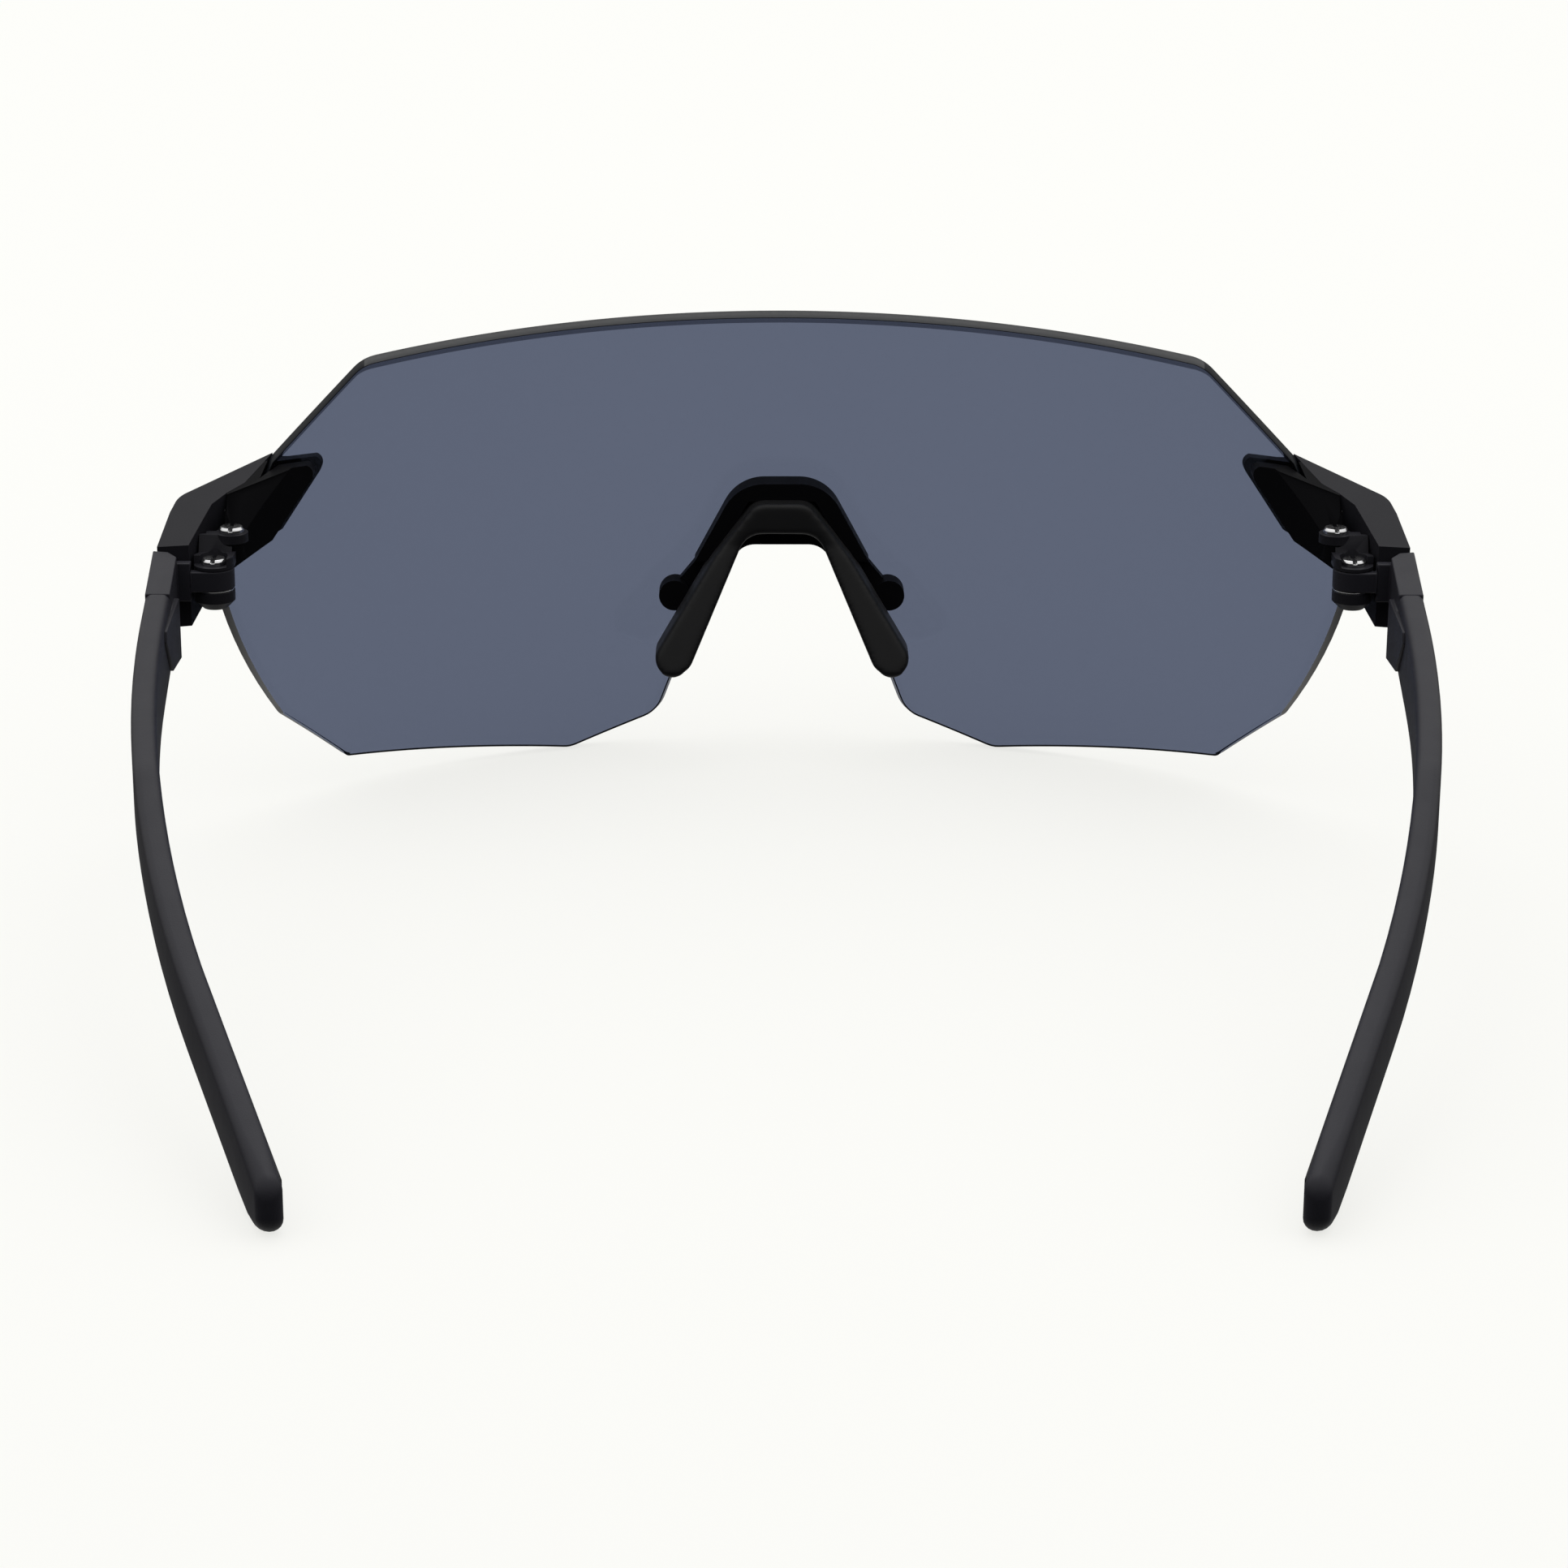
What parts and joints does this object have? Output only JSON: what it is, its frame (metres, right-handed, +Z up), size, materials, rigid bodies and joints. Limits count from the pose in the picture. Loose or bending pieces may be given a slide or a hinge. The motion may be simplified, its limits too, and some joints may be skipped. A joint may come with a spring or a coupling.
{
  "type": "wraparound sport sunglasses",
  "caption": "Rimless sport sunglasses with a curved shield lens, a clip-on nose bridge with a soft pad and folding temples on screw hinges.",
  "frame": {"origin": "centre of the glasses, in plan, on the surface they rest on", "axes": "+X to the wearer's right, +Y forwards through the lens, +Z up"},
  "size_m": [0.1442, 0.1534, 0.0541],
  "materials": {
    "lens": "gloss",
    "frame": "satin",
    "temple": "satin",
    "soft_pad": "matte",
    "soft_grip": "matte",
    "steel": "brushed"
  },
  "bodies": {
    "front": {"lens": "lens", "nose_bridge": "frame", "nose_rivets": "frame", "nose_pad": "soft_pad", "end_piece_right": "frame", "end_piece_left": "frame", "lens_clamp_right": "frame", "lens_clamp_left": "frame", "hinge_block_right": "frame", "hinge_block_left": "frame", "clamp_screw_right": "steel", "clamp_screw_left": "steel", "hinge_screw_right": "steel", "hinge_screw_left": "steel", "hinge_washer_right": "steel", "hinge_washer_left": "steel"},
    "temple_right": {"temple_front_right": "frame", "temple_arm_right": "temple", "temple_pin_right": "steel", "temple_grip_right": "soft_grip"},
    "temple_left": {"temple_front_left": "frame", "temple_arm_left": "temple", "temple_pin_left": "steel", "temple_grip_left": "soft_grip"}
  },
  "joints": [
    {"name": "temple_fold_right", "type": "hinge", "parent": "front", "child": "temple_right", "pos_m": [0.0653, 0.0357, 0.0311], "axis": [0, 0, -1], "range_deg": [0, 78]},
    {"name": "temple_fold_left", "type": "hinge", "parent": "front", "child": "temple_left", "pos_m": [-0.0653, 0.0357, 0.0311], "axis": [0, 0, 1], "range_deg": [0, 90]}
  ]
}
